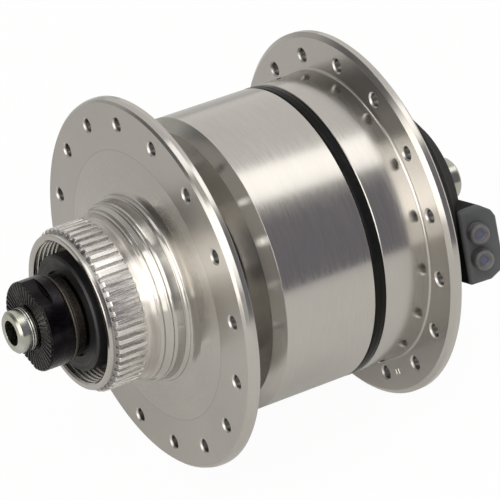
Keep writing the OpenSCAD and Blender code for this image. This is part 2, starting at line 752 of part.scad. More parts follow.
module ground_contact() {
    color([0.78, 0.66, 0.36]) difference() {
        union() {
            ring(slip_r, axle_r + 2.1, cover_inner_y, cover_inner_y + contact_t, fn_small);
            at_plug() {
                rotate([0, -ground_turn, 0]) translate([axle_r + 0.7, cover_inner_y, -pin_w / 2])
                    cube([pin_start / cos(ground_turn) - axle_r - 0.9, contact_t, pin_w]);
                translate([pin_start - pin_t, pin_y - pin_t / 2, pin_z[1] - pin_w / 2])
                    cube([pin_t, cover_inner_y + contact_t - pin_y + pin_t / 2, pin_w]);
            }
        }
        at_plug() rotate([0, -lead_turn, 0]) translate([axle_r - 0.5, cover_inner_y - 1, -lead_r - 0.35])
            cube([4, 3, lead_d + 0.7]);
    }
}

// Outline of the housing and the plug, seen along the plug: X runs along the axle, Y across it.
module housing_outline() {
    low = housing_y[0];
    high = housing_y[1];
    offset(r = 0.6, $fn = 24) offset(delta = -0.6) polygon([
        [high, 0], [high, housing_length], [low + 3.2, housing_length], [low, housing_length - 1.9],
        [low, 3.1], [low + 0.8, 1.5], [low + 3, 0]]);
}

// Stands an outline from the plug's frame up between two distances from the axle.
module plug_prism(x1, x2) {
    translate([x1, 0, 0]) rotate([0, 90, 0]) rotate([0, 0, 90]) linear_extrude(height = x2 - x1) children();
}

module end_cover() {
    small_r = cover_small_d / 2;
    color([0.07, 0.07, 0.07]) difference() {
        union() {
            turned([
                [slip_r, cover_inner_y], [slip_r, cover_y], [small_r - 0.8, cover_y],
                [small_r, cover_y + 0.3], [large_r, rim_y - 0.4], [step_r, step_y],
                [skirt_r, skirt_y - 0.3], [skirt_r, skirt_y], [skirt_line(cover_wall, skirt_y), skirt_y],
                [skirt_line(cover_wall, step_y + 0.9), step_y + 0.9], [large_r - cover_wall, rim_y],
                [small_r - 1.1, cover_inner_y]]);
            at_plug() plug_prism(pin_start - 2.5, housing_reach) housing_outline();
        }
        rod(cup_r + 4 + cover_gap, dome_y, nose_end_y - cover_gap);
        at_plug() {
            translate([socket_floor, socket_y[0], socket_z[0]])
                cube([10, socket_y[1] - socket_y[0], socket_z[1] - socket_z[0]]);
            for (z = pin_z) translate([pin_start - pin_t, pin_y - pin_t / 2, z - pin_w / 2])
                cube([4, pin_t, pin_w]);
            rotate([0, -lead_turn, 0]) translate([0, cover_inner_y - lead_d - 0.1, -lead_r - 0.15])
                cube([pin_start / cos(lead_turn), lead_d + 0.1, lead_d + 0.3]);
            rotate([0, -ground_turn, 0]) translate([pin_start - 3.5, cover_inner_y - eps, -pin_w / 2 - 0.1])
                cube([pin_start / cos(ground_turn) - pin_start + 4.1, contact_t + 0.02, pin_w + 0.2]);
            translate([pin_start - pin_t, pin_y - pin_t / 2, pin_z[1] - pin_w / 2]) cube([pin_t, 2, pin_w]);
        }
    }
}

module plug_body() {
    front = housing_reach + plug_parting;
    color([0.1, 0.1, 0.1]) at_plug() difference() {
        translate([socket_floor + 0.3, socket_y[0] + slide_gap, socket_z[0] + slide_gap])
            cube([front - socket_floor - 0.3, socket_y[1] - socket_y[0] - 2 * slide_gap,
                socket_z[1] - socket_z[0] - 2 * slide_gap]);
        for (z = pin_z) {
            translate([socket_floor, pin_y - 0.7, z - 1.2]) cube([4.8, 1.4, 2.4]);
            translate([front - 1, nozzle_y, z]) rotate([0, 90, 0]) cylinder(r = wire_hole_r, h = 3, $fn = 24);
            translate([front - 1.2, min(nozzle_y, pin_y) - wire_hole_r, z - wire_hole_r])
                cube([0.6, abs(nozzle_y - pin_y) + 2 * wire_hole_r, 2 * wire_hole_r]);
        }
    }
}

module plug_contacts() {
    color([0.82, 0.7, 0.38]) at_plug() for (z = pin_z) difference() {
        translate([socket_floor + 0.4, pin_y - 0.7, z - 1.2]) cube([4.4, 1.4, 2.4]);
        translate([socket_floor, pin_y - pin_t / 2 - 0.05, z - pin_w / 2 - 0.05])
            cube([4.4, pin_t + 0.1, pin_w + 0.1]);
    }
}

// The plug's grey block, cut by its slanted face.
module plug_cover() {
    front = housing_reach + plug_parting;
    mid_reach = (plug_reach + plug_low_reach) / 2;
    color([0.3, 0.3, 0.31]) at_plug() difference() {
        hull() {
            plug_prism(front, front + 0.3) housing_outline();
            translate([mid_reach, housing_mid_y, 0]) rotate([0, 0, face_tilt])
                translate([-mid_reach, -housing_mid_y, 0]) {
                    plug_prism(mid_reach - 0.75, mid_reach - 0.65) offset(delta = -0.12) housing_outline();
                    plug_prism(mid_reach - 0.3, mid_reach - 0.2) offset(delta = -0.45) housing_outline();
                    plug_prism(mid_reach - 0.1, mid_reach) offset(delta = -0.95) housing_outline();
                }
        }
        translate([front - plug_height, housing_y[0] - 1, -1])
            cube([plug_height, housing_width + 2, housing_length + 2]);
        for (z = pin_z) at_nozzle(z) translate([0, 0, -plug_height])
            cylinder(r = wire_hole_r, h = 8, $fn = 24);
    }
}

// The frame of one nozzle: on the slanted face, with Z pointing out of it.
module at_nozzle(z) {
    mid_reach = (plug_reach + plug_low_reach) / 2;
    translate([mid_reach + (nozzle_y - housing_mid_y) * tan(face_tilt), nozzle_y, z])
        rotate([0, 0, face_tilt]) rotate([0, 90, 0]) children();
}

module plug_nozzles() {
    r = nozzle_d / 2;
    color([0.55, 0.55, 0.56]) at_plug() for (z = pin_z) at_nozzle(z) rotate_extrude($fn = fn_small) polygon([
        [wire_hole_r, 0], [r + 0.1, 0], [r - 0.05, 0.4], [r - 0.1, nozzle_length - 0.35],
        [r - 0.45, nozzle_length], [wire_hole_r + 0.6, nozzle_length],
        [wire_hole_r + 0.4, nozzle_length - 0.3], [wire_hole_r, nozzle_length - 0.5]]);
}

module wire_seals() {
    color([0.5, 0.52, 0.62]) at_plug() for (z = pin_z) at_nozzle(z)
        translate([0, 0, -0.4]) cylinder(r = wire_hole_r, h = nozzle_length - 0.1, $fn = fn_small);
}

hub_shell();
right_flange_cap();
seal_band();
dust_cap();
left_cup();
right_cup();
yoke_ring();
magnets();
axle();
left_locknut();
left_washer();
left_cone();
left_cone_seal();
right_cone();
right_cone_seal();
right_washer();
right_locknut();
stator_core();
left_claw();
right_claw();
coil_bobbin();
coil_winding();
stator_nut();
coil_lead();
ground_contact();
terminal_pins();
end_cover();
left_balls();
left_retainer();
right_balls();
right_retainer();
plug_body();
plug_cover();
plug_nozzles();
wire_seals();
plug_contacts();
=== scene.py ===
import math

import bmesh
import bpy
from mathutils import Matrix, Vector


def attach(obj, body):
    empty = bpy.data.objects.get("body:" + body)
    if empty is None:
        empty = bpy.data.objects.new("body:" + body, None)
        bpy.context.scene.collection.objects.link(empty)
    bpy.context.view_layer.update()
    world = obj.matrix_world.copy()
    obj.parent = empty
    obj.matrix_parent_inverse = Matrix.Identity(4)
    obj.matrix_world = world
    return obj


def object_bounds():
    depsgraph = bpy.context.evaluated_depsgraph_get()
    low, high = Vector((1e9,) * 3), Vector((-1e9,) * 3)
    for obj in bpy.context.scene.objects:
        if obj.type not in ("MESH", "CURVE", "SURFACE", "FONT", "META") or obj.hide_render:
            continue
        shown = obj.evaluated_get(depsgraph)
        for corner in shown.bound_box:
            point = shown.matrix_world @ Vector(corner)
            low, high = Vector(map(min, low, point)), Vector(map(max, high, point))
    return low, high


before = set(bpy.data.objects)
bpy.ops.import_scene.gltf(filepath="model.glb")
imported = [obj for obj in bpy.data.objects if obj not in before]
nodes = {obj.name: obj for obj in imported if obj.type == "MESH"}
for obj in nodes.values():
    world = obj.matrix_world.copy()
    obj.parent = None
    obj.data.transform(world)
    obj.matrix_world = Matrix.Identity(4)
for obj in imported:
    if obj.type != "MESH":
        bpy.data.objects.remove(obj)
cad_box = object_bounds()
scene = bpy.context.scene
scene.view_settings.view_transform = "Standard"

# Places on the hub that the camera, the finishes and the trim use, in metres and degrees
left_face_y = 0.0224
right_inner_y = -0.0266
thread_start_y = 0.05035
thread_end_y = 0.0515
hole_circle_radius = 0.035
hole_count = 16
left_hole_angle = -5.17
right_hole_angle = -16.42


def set_axes(thing, place, x_axis, y_axis, z_axis):
    """Puts an object at a place, with its own axes along the three given."""
    turn = Matrix((x_axis, y_axis, z_axis)).transposed().to_4x4()
    thing.matrix_world = Matrix.Translation(place) @ turn


# Camera: solved from the photo. It looks from the left end's side, 34 degrees down, and stands this far
# to the right of, above and back from the middle of the left flange's face, in its own view.
azimuth = math.radians(-122.4972)
elevation = math.radians(33.9582)
aside = 0.021428
above = 0.007316
back = 0.773543
right = Vector((math.cos(azimuth), math.sin(azimuth), 0))
level = Vector((-math.sin(azimuth), math.cos(azimuth), 0))
ahead = level * math.cos(elevation) - Vector((0, 0, math.sin(elevation)))
up = right.cross(ahead)
camera_data = bpy.data.cameras.new("camera")
camera_data.sensor_width = 36
camera_data.lens = 271.52
camera_data.clip_start = 0.05
camera_data.clip_end = 30
camera = bpy.data.objects.new("camera", camera_data)
scene.collection.objects.link(camera)
camera_place = Vector((0, left_face_y, 0)) + right * aside + up * above - ahead * back
set_axes(camera, camera_place, right, up, -ahead)
scene.camera = camera


# Node helpers
class Nodes:
    """A node tree with short calls for the nodes that the finishes and the world share."""

    def __init__(self, tree):
        self.tree = tree
        self.tree.nodes.clear()

    def add(self, kind, **settings):
        node = self.tree.nodes.new(kind)
        for key, value in settings.items():
            setattr(node, key, value)
        return node

    def link(self, a, b):
        self.tree.links.new(a, b)

    def put(self, value, socket):
        """Links an output to a socket, or sets the socket to a plain value."""
        if hasattr(value, "is_output"):
            self.link(value, socket)
        else:
            socket.default_value = value

    def math(self, operation, a, b=0.0):
        node = self.add("ShaderNodeMath", operation=operation)
        self.put(a, node.inputs[0])
        self.put(b, node.inputs[1])
        return node.outputs[0]

    def plus(self, a, b):
        return self.math("ADD", a, b)

    def minus(self, a, b):
        return self.math("SUBTRACT", a, b)

    def times(self, a, b):
        return self.math("MULTIPLY", a, b)

    def over(self, a, b):
        return self.math("DIVIDE", a, b)

    def larger(self, a, b):
        return self.math("MAXIMUM", a, b)

    def length(self, a, b):
        """The length of a flat vector."""
        return self.math("SQRT", self.plus(self.times(a, a), self.times(b, b)))

    def vector(self, x, y, z):
        node = self.add("ShaderNodeCombineXYZ")
        for value, socket in zip((x, y, z), node.inputs):
            self.put(value, socket)
        return node.outputs[0]

    def parts(self, vector):
        """The x, y and z of a vector."""
        node = self.add("ShaderNodeSeparateXYZ")
        self.link(vector, node.inputs[0])
        return node.outputs

    def dot(self, a, b):
        node = self.add("ShaderNodeVectorMath", operation="DOT_PRODUCT")
        self.put(a, node.inputs[0])
        self.put(b, node.inputs[1])
        return node.outputs["Value"]

    def span(self, value, low, high, to_low=0.0, to_high=1.0):
        """A value between low and high taken smoothly to a number between to_low and to_high."""
        node = self.add("ShaderNodeMapRange", interpolation_type="SMOOTHSTEP")
        self.put(value, node.inputs["Value"])
        for key, number in (("From Min", low), ("From Max", high), ("To Min", to_low), ("To Max", to_high)):
            node.inputs[key].default_value = number
        return node.outputs["Result"]

    def spread(self, noise, to_low=0.0, to_high=1.0):
        """A noise's usual values, 0.3 to 0.7, taken to a number between to_low and to_high."""
        return self.span(noise, 0.3, 0.7, to_low, to_high)

    def crisp(self, noise, to_low=0.0, to_high=1.0):
        """Like spread, with more contrast."""
        return self.span(noise, 0.35, 0.65, to_low, to_high)

    def between(self, value, low, high, soft):
        """1 where a value lies between low and high, fading over soft."""
        past_low = self.span(value, low - soft, low + soft)
        before_high = self.span(value, high + soft, high - soft)
        return self.times(past_low, before_high)

    def mix(self, factor, a, b):
        """A colour between a and b."""
        node = self.add("ShaderNodeMix", data_type="RGBA")
        self.put(factor, node.inputs["Factor"])
        for value, socket in ((a, node.inputs[6]), (b, node.inputs[7])):
            self.put((*value, 1) if isinstance(value, tuple) else value, socket)
        return node.outputs[2]

    def lerp(self, factor, a, b):
        """A number between a and b."""
        node = self.add("ShaderNodeMix", data_type="FLOAT")
        self.put(factor, node.inputs["Factor"])
        self.put(a, node.inputs[2])
        self.put(b, node.inputs[3])
        return node.outputs[0]

    def tint(self, tone, mask, share, color):
        """The tone, with a share of a colour laid over it where the mask is 1."""
        return self.mix(self.times(mask, share), tone, color)


class Finish(Nodes):
    """A procedural material with one principled shader, and the patterns that the finishes share."""

    def __init__(self, name, color, metallic, roughness, **sockets):
        self.material = bpy.data.materials.new(name)
        self.material.use_nodes = True
        self.material.diffuse_color = (*color, 1)
        self.material.metallic = metallic
        self.material.roughness = roughness
        super().__init__(self.material.node_tree)
        self.out = self.add("ShaderNodeOutputMaterial")
        self.bsdf = self.add("ShaderNodeBsdfPrincipled")
        self.link(self.bsdf.outputs[0], self.out.inputs["Surface"])
        self.bsdf.inputs["Base Color"].default_value = (*color, 1)
        self.bsdf.inputs["Metallic"].default_value = metallic
        self.bsdf.inputs["Roughness"].default_value = roughness
        for key, value in sockets.items():
            self.bsdf.inputs[key.replace("_", " ")].default_value = value
        self.coords = self.add("ShaderNodeTexCoord").outputs["Object"]
        self.around_axle = None

    def polar(self):
        """Radius and place along the axle in metres, and the angle around it in turns."""
        if self.around_axle is None:
            x, y, z = self.parts(self.coords)
            angle = self.over(self.math("ARCTAN2", x, z), 2 * math.pi)
            self.around_axle = self.length(x, z), y, angle
        return self.around_axle

    def noise(self, scale, detail=2.0, roughness=0.5, vector=None):
        node = self.add("ShaderNodeTexNoise")
        self.link(vector or self.coords, node.inputs["Vector"])
        node.inputs["Scale"].default_value = scale
        node.inputs["Detail"].default_value = detail
        node.inputs["Roughness"].default_value = roughness
        return node.outputs["Fac"]

    def turned(self, pitch, strokes=3.5, detail=3.0):
        """Noise as a lathe leaves it: a fine pitch across, and long strokes, so many to a turn, around."""
        radius, y, angle = self.polar()
        place = self.vector(self.over(radius, pitch), self.over(y, pitch), self.times(angle, strokes))
        return self.noise(1.0, detail, 0.6, place)

    def pits(self, scale):
        """Small round pits, given as the distance to the nearest one's middle."""
        node = self.add("ShaderNodeTexVoronoi")
        self.link(self.coords, node.inputs["Vector"])
        node.inputs["Scale"].default_value = scale
        return node.outputs["Distance"]

    def bump(self, height, depth, strength, normal=None):
        node = self.add("ShaderNodeBump")
        node.inputs["Strength"].default_value = strength
        node.inputs["Distance"].default_value = depth
        self.link(height, node.inputs["Height"])
        if normal is not None:
            self.link(normal, node.inputs["Normal"])
        return node.outputs[0]

    def rounded(self, radius, samples=4):
        """A normal that rounds sharp edges."""
        bevel = self.add("ShaderNodeBevel", samples=samples)
        bevel.inputs["Radius"].default_value = radius
        return bevel.outputs[0]

    def edge(self, radius, samples=4):
        """A normal that rounds sharp edges, and a mask that is 1 on them."""
        normal = self.rounded(radius, samples)
        flat = self.add("ShaderNodeNewGeometry").outputs["Normal"]
        return normal, self.span(self.dot(normal, flat), 0.99, 0.8)

    def base(self, value):
        self.link(value, self.bsdf.inputs["Base Color"])

    def rough(self, value):
        self.link(value, self.bsdf.inputs["Roughness"])

    def normal(self, value):
        self.link(value, self.bsdf.inputs["Normal"])

    def brushed_around(self):
        """Turns the shader's brushing around the axle."""
        tangent = self.add("ShaderNodeTangent", direction_type="RADIAL", axis="Y")
        self.link(tangent.outputs[0], self.bsdf.inputs["Tangent"])


def shade(color, factor):
    """A darker or lighter version of a colour."""
    return tuple(c * factor for c in color)


def edge_wear_and_highlight_tone(color, gain, lift):
    """The brighter tone for edges: partly wear, partly a painted edge highlight."""
    return tuple(min(1.0, c * gain + lift) for c in color)


# Zones of the shell, in metres: where each begins and ends, and how softly
neck_y = (0.0232, 0.0296, 0.0001)
recess_y = (0.0296, 0.0322, 0.00012)
spline_y = (0.0323, 0.0395, 0.0001)
tooth_front_y = (0.0389, 0.0399, 0.0001)
tooth_front_radius = (0.0165, 0.0176, 0.0001)
flange_y = (0.0195, 0.0229, 0.0002)
step_radius = (0.02898, 0.02922, 0.00008)

# Ramps, in metres: where a mask is 0 and where it is 1
spline_root = (0.0158, 0.0161)
flange_inner = (0.0215, 0.025)
flange_outer = (0.0393, 0.039)
dish_outer = (0.02915, 0.02905)
sink_outer = (0.00182, 0.00174)
bore_outer = (0.0015, 0.00142)
right_to_left = (-0.001, 0.001)


# Finishes
def hole_distance(t, first):
    """Distance to the nearest spoke hole of a flange, whose first hole is at an angle in degrees."""
    radius, y, angle = t.polar()
    count = t.times(t.minus(angle, first / 360), hole_count)
    share = t.math("FRACT", t.plus(count, 0.5))
    around = t.times(t.minus(share, 0.5), 2 * math.pi * hole_circle_radius / hole_count)
    return t.length(around, t.minus(radius, hole_circle_radius))


def shell_finish():
    """Satin turned aluminium: fine lathe lines, polished neck rings, streaked splines, a dull recess, with
    painted shade on the tooth fronts and inside the spoke holes, a painted highlight on the countersinks, a
    painted lighter dish and a painted shade line at its step.
    """
    streak_count = 500
    streak_length = 0.004
    streak_depth = 0.0003
    t = Finish("shell_aluminium", (0.47, 0.46, 0.44), 1.0, 0.2, Anisotropic=0.5, Anisotropic_Rotation=0.25)
    radius, y, angle = t.polar()
    lines = t.turned(0.00028, strokes=50, detail=4.0)
    broad = t.turned(0.0012, strokes=8)
    clouds = t.noise(70, 3)
    along_teeth = t.vector(t.times(angle, streak_count), t.over(y, streak_length),
                           t.over(radius, streak_depth))
    streaks = t.noise(1.0, 3, 0.6, along_teeth)

    neck = t.between(y, *neck_y)
    recess = t.between(y, *recess_y)
    spline = t.times(t.between(y, *spline_y), t.span(radius, *spline_root))
    tooth_front_painted_shade = t.times(t.between(y, *tooth_front_y), t.between(radius, *tooth_front_radius))
    face_ring = t.times(t.span(radius, *flange_inner), t.span(radius, *flange_outer))
    flange = t.times(t.between(y, *flange_y), face_ring)
    painted_shade_step = t.times(t.between(radius, *step_radius), flange)
    painted_light_dish = t.times(t.span(radius, *dish_outer), flange)
    left_side = t.span(y, *right_to_left)
    distance = t.lerp(left_side, hole_distance(t, right_hole_angle), hole_distance(t, left_hole_angle))
    countersinks_painted_highlight = t.span(distance, *sink_outer)
    bores_painted_shade = t.span(distance, *bore_outer)

    tone = t.mix(t.spread(clouds), (0.462, 0.445, 0.418), (0.484, 0.467, 0.44))
    tone = t.tint(tone, t.crisp(lines), t.lerp(flange, 0.3, 0.06), (0.55, 0.535, 0.505))
    # Painted light and shade: the dish inside the step is painted a little lighter, and a dark line is
    # painted along the step.
    tone = t.tint(tone, painted_light_dish, 0.3, (0.52, 0.505, 0.475))
    tone = t.tint(tone, painted_shade_step, 0.6, (0.36, 0.345, 0.32))
    tone = t.tint(tone, recess, 0.7, t.mix(t.crisp(broad), (0.36, 0.325, 0.295), (0.56, 0.53, 0.5)))
    tone = t.tint(tone, spline, 0.8, t.mix(t.crisp(streaks), (0.62, 0.605, 0.58), (0.88, 0.87, 0.85)))
    # Painted shade: the front faces of the spline teeth are painted dark.
    tone = t.tint(tone, tooth_front_painted_shade, 0.75, (0.14, 0.135, 0.13))
    # Painted highlight on the countersinks of the spoke holes, and painted shade inside the holes.
    tone = t.tint(tone, countersinks_painted_highlight, 0.7, (0.64, 0.625, 0.6))
    t.base(t.tint(tone, bores_painted_shade, 0.85, (0.16, 0.155, 0.145)))

    rough = t.plus(t.spread(lines, 0.155, 0.21), t.spread(broad, -0.01, 0.015))
    rough = t.lerp(flange, rough, t.spread(lines, 0.275, 0.3))
    rough = t.lerp(neck, rough, 0.15)
    rough = t.lerp(recess, rough, t.crisp(broad, 0.19, 0.28))
    rough = t.lerp(spline, rough, t.crisp(streaks, 0.2, 0.33))
    t.rough(t.lerp(countersinks_painted_highlight, rough, 0.38))

    height = t.times(lines, t.lerp(flange, 1.0, 0.1))
    t.normal(t.bump(height, 0.0000018, 0.5, t.rounded(0.00018)))
    t.brushed_around()
    return t.material


def band_finish():
    """Gloss black plastic band with a faint moulded line."""
    t = Finish("band_black", (0.006, 0.006, 0.006), 0.0, 0.15, Specular_IOR_Level=0.07)
    lines = t.turned(0.0003)
    t.base(t.mix(t.noise(900), (0.005, 0.005, 0.005), (0.009, 0.009, 0.009)))
    t.rough(t.spread(lines, 0.12, 0.2))
    t.normal(t.bump(lines, 0.000002, 0.5, t.rounded(0.0007, 8)))
    return t.material


def metal_finish(name, color, roughness, pitch=0.0003, depth=0.000005, edge_wear_and_highlight_share=0.3, brushing=0.0):
    """Machined metal with lathe lines, clouded tone, and edges painted brighter: partly wear, partly a
    painted edge highlight.
    """
    t = Finish(name, color, 1.0, roughness, Anisotropic=brushing)
    lines = t.turned(pitch)
    normal, edge_wear_and_highlight = t.edge(0.0002)
    tone = t.mix(t.spread(t.noise(160, 3)), shade(color, 0.88), shade(color, 1.1))
    # Brighter edges: partly wear, partly a painted edge highlight.
    t.base(t.tint(tone, edge_wear_and_highlight, edge_wear_and_highlight_share, edge_wear_and_highlight_tone(color, 1.8, 0.05)))
    t.rough(t.plus(t.spread(lines, roughness * 0.85, roughness * 1.15), t.spread(t.noise(500), -0.03, 0.04)))
    t.normal(t.bump(lines, depth, 0.6, normal))
    if brushing:
        t.brushed_around()
    return t.material


def moulded_finish(name, color, roughness, grain=1500, rounding=0.0003, **sockets):
    """Moulded plastic or rubber with a fine spark-eroded grain, and edges painted a little lighter: partly
    rubbing, partly a painted edge highlight.
    """
    t = Finish(name, color, 0.0, roughness, **sockets)
    fine = t.noise(grain, 4, 0.6)
    normal, edge_wear_and_highlight = t.edge(rounding)
    tone = t.mix(t.spread(t.noise(120)), shade(color, 0.9), shade(color, 1.12))
    tone = t.tint(tone, t.span(fine, 0.4, 0.65), 0.3, shade(color, 1.3))
    # Lighter edges: partly rubbing, partly a painted edge highlight.
    t.base(t.tint(tone, edge_wear_and_highlight, 0.15, edge_wear_and_highlight_tone(color, 1.6, 0.02)))
    t.rough(t.spread(fine, roughness * 0.88, roughness * 1.12))
    t.normal(t.bump(fine, 0.00001, 0.5, normal))
    return t.material


def nut_black_finish():
    """Black oxide, with purplish depth on the flats, and edges painted brighter along the serrations: partly
    wear, partly a painted highlight.
    """
    t = Finish("nut_black", (0.03, 0.028, 0.03), 1.0, 0.28)
    fine = t.noise(1400, 3)
    normal, edge_wear_and_highlight = t.edge(0.00022, 6)
    tone = t.mix(t.span(t.noise(260), 0.35, 0.7), (0.008, 0.007, 0.008), (0.022, 0.019, 0.022))
    # Brighter edges, the serrations' among them: partly wear, partly a painted highlight.
    t.base(t.tint(tone, edge_wear_and_highlight, 0.5, (0.13, 0.12, 0.11)))
    t.rough(t.spread(fine, 0.22, 0.36))
    t.normal(t.bump(fine, 0.000012, 0.5, normal))
    return t.material


def copper_finish():
    """Enamelled wire: each turn shows as a rounded line around the coil, with painted shade in the grooves
    between turns.
    """
    wire = 0.0006
    t = Finish("copper", (0.6, 0.27, 0.1), 1.0, 0.25, Coat_Weight=0.6, Coat_Roughness=0.12)
    radius, y, angle = t.polar()
    turn_relief_and_shade = t.math("ABSOLUTE", t.math("SINE", t.times(t.plus(y, radius), math.pi / wire)))
    # Painted shade: the grooves between the turns are painted darker.
    t.base(t.mix(t.times(turn_relief_and_shade, 0.8), (0.3, 0.1, 0.03), (0.72, 0.34, 0.13)))
    t.rough(t.spread(t.noise(700), 0.2, 0.32))
    t.normal(t.bump(turn_relief_and_shade, 0.00008, 0.8))
    return t.material


def stator_finish():
    """Pressed soft iron: lamination lines and an oily, clouded surface."""
    iron = (0.4, 0.41, 0.44)
    sheet = 0.0005
    t = Finish("stator_iron", iron, 1.0, 0.42)
    radius, y, angle = t.polar()
    from_middle = t.math("ABSOLUTE", t.minus(t.math("FRACT", t.over(y, sheet)), 0.5))
    clouds = t.noise(220, 4)
    tone = t.mix(t.spread(clouds), shade(iron, 0.8), iron)
    t.base(t.tint(tone, t.span(from_middle, 0.35, 0.5), 0.35, shade(iron, 0.5)))
    t.rough(t.spread(clouds, 0.36, 0.52))
    t.normal(t.bump(clouds, 0.00002, 0.4, t.rounded(0.0002)))
    return t.material


def magnet_finish():
    """Dark sintered magnets with a pitted surface."""
    t = Finish("magnet_dark", (0.09, 0.09, 0.095), 0.5, 0.55)
    clouds = t.noise(400, 4)
    t.base(t.mix(t.spread(clouds), (0.07, 0.07, 0.075), (0.13, 0.13, 0.14)))
    t.rough(t.spread(clouds, 0.48, 0.66))
    t.normal(t.bump(t.pits(1800), 0.00003, 0.4, t.rounded(0.0003)))
    return t.material


def axle_finish():
    """Zinc plate with a slight yellow-green cast."""
    t = Finish("axle_zinc", (0.6, 0.61, 0.56), 1.0, 0.2, Anisotropic=0.3)
    lines = t.turned(0.00018)
    clouds = t.noise(240, 3)
    normal, edge_wear_and_highlight = t.edge(0.00015)
    tone = t.mix(t.spread(clouds), (0.4, 0.41, 0.36), (0.54, 0.545, 0.51))
    tone = t.tint(tone, t.span(t.noise(90), 0.5, 0.7), 0.35, (0.42, 0.4, 0.28))
    # Edges painted near white: partly wear, partly a painted highlight on the chamfers.
    t.base(t.tint(tone, edge_wear_and_highlight, 0.35, (0.8, 0.8, 0.78)))
    t.rough(t.plus(t.spread(lines, 0.14, 0.22), t.spread(clouds, 0.0, 0.06)))
    t.normal(t.bump(lines, 0.000005, 0.6, normal))
    t.brushed_around()
    return t.material


def nozzle_finish(name, color, edge_painted_light):
    """Translucent moulding, with its thin edges painted lighter: painted light, as light shows through them.
    """
    t = Finish(name, color, 0.0, 0.42, Subsurface_Weight=0.25, Subsurface_Scale=0.001)
    fine = t.noise(1600, 3)
    normal, edge_wear_and_highlight = t.edge(0.0004)
    tone = t.mix(t.spread(t.noise(300)), shade(color, 0.9), shade(color, 1.1))
    # Painted light: the thin edges are painted lighter.
    t.base(t.tint(tone, edge_wear_and_highlight, 0.4, edge_painted_light))
    t.rough(t.spread(fine, 0.36, 0.5))
    t.normal(t.bump(fine, 0.000008, 0.4, normal))
    return t.material


def slot_name(material):
    """A material's name without the number that Blender adds to a name in use."""
    return material.name.split(".")[0]


finish_list = [
    shell_finish(),
    band_finish(),
    metal_finish("cap_grey", (0.05, 0.05, 0.052), 0.5, pitch=0.0004, edge_wear_and_highlight_share=0.12),
    metal_finish("bearing_steel", (0.6, 0.6, 0.62), 0.2, pitch=0.0002, brushing=0.3),
    metal_finish("ball_steel", (0.78, 0.78, 0.8), 0.06, pitch=0.01, depth=0.0000005, edge_wear_and_highlight_share=0.0),
    moulded_finish("cage_yellow", (0.55, 0.47, 0.3), 0.5),
    metal_finish("yoke_steel", (0.36, 0.37, 0.39), 0.42, pitch=0.0006),
    magnet_finish(),
    axle_finish(),
    nut_black_finish(),
    metal_finish("washer_dark", (0.1, 0.09, 0.08), 0.34, edge_wear_and_highlight_share=0.4),
    metal_finish("cone_dark", (0.075, 0.066, 0.058), 0.25, pitch=0.0002, edge_wear_and_highlight_share=0.5, brushing=0.3),
    metal_finish("nut_zinc", (0.55, 0.56, 0.53), 0.24, edge_wear_and_highlight_share=0.4),
    moulded_finish("seal_rubber", (0.02, 0.02, 0.02), 0.6, grain=900),
    stator_finish(),
    moulded_finish("bobbin_cream", (0.72, 0.66, 0.52), 0.45),
    copper_finish(),
    moulded_finish("lead_red", (0.5, 0.04, 0.03), 0.4),
    metal_finish("contact_brass", (0.75, 0.58, 0.28), 0.25, edge_wear_and_highlight_share=0.4),
    moulded_finish("cover_black", (0.006, 0.006, 0.006), 0.7, grain=1800, Specular_IOR_Level=0.12),
    moulded_finish("plug_black", (0.012, 0.012, 0.012), 0.6, Specular_IOR_Level=0.2),
    moulded_finish("plug_grey", (0.062, 0.065, 0.069), 0.46, grain=2200, rounding=0.0012),
    nozzle_finish("nozzle_grey", (0.11, 0.11, 0.112), (0.2, 0.2, 0.2)),
    nozzle_finish("seal_blue", (0.085, 0.09, 0.165), (0.13, 0.14, 0.2)),
]
finishes = {slot_name(material): material for material in finish_list}


def dress(node):
    """Gives a CAD node the finish of the slot that it was packed with."""
    packed = [slot_name(s.material) for s in node.material_slots if s.material]
    slot = next(name for name in packed if name in finishes)
    node.data.materials.clear()
    node.data.materials.append(finishes[slot])


for node in nodes.values():
    dress(node)


# Detail pieces
def piece(name, verts, faces, body, slot):
    """A mesh piece in the shared frame that rides on a body and wears one of the finishes."""
    mesh = bpy.data.meshes.new(name)
    mesh.from_pydata(verts, [], faces)
    build = bmesh.new()
    build.from_mesh(mesh)
    bmesh.ops.recalc_face_normals(build, faces=build.faces)
    build.to_mesh(mesh)
    build.free()
    mesh.materials.append(finishes[slot])
    obj = bpy.data.objects.new(name, mesh)
    scene.collection.objects.link(obj)
    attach(obj, body)


def thread(name, start, end):
    """A screw thread on the axle: one ridge wound around it, closed all round, with fading ends."""
    root = 0.0045
    crest = 0.00454
    pitch = 0.0005
    sunk = 0.00006
    foot = pitch * 0.46
    tip = pitch * 0.06
    steps = 64
    fade = 10
    count = round(abs(end - start) / pitch * steps)
    verts = []
    for i in range(count + 1):
        angle = 2 * math.pi * i / steps
        y = start + (end - start) * i / count
        ridge = root + (crest - root) * min(1, i / fade, (count - i) / fade)
        half = ((root - sunk, -foot), (root, -foot), (ridge, -tip))
        profile = half + tuple((r, -along) for r, along in reversed(half))
        for r, along in profile:
            verts.append((r * math.sin(angle), y + along, r * math.cos(angle)))
    corners = len(profile)
    faces = [tuple(range(corners)), tuple(range(count * corners, (count + 1) * corners))]
    for i in range(count):
        for k in range(corners):
            a = i * corners + k
            b = i * corners + (k + 1) % corners
            faces.append((a, b, b + corners, a + corners))
    piece(name, verts, faces, "axle_set", "axle_zinc")


thread("axle_thread_left", thread_start_y, thread_end_y)
thread("axle_thread_right", -thread_start_y, -thread_end_y)


